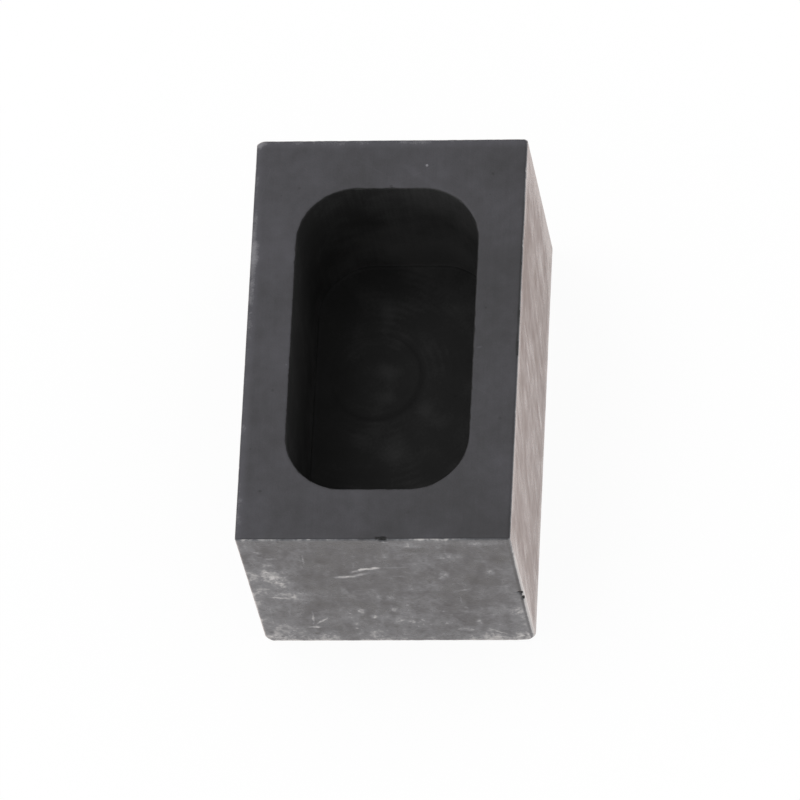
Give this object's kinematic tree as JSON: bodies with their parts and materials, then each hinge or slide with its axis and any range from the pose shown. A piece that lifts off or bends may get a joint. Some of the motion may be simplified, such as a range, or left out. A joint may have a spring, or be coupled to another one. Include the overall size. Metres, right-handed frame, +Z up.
{
  "type": "graphite crucible",
  "caption": "Rectangular graphite block with an upright-walled, round-cornered blind cavity, open at the top, for melting metal and casting a small ingot.",
  "frame": {"origin": "middle of the foot, the flat face that the block stands on", "axes": "+Z up, out of the cavity's mouth; +Y to the back, along the block's length; +X to the right, across it"},
  "size_m": [0.0376, 0.06, 0.035],
  "materials": {
    "graphite": "dense pressed graphite: milled matte charcoal on the rim and in the cavity, burnished and scuffed to a silvery grey outside"
  },
  "bodies": {
    "root": {"crucible_block": "graphite"}
  },
  "joints": []
}
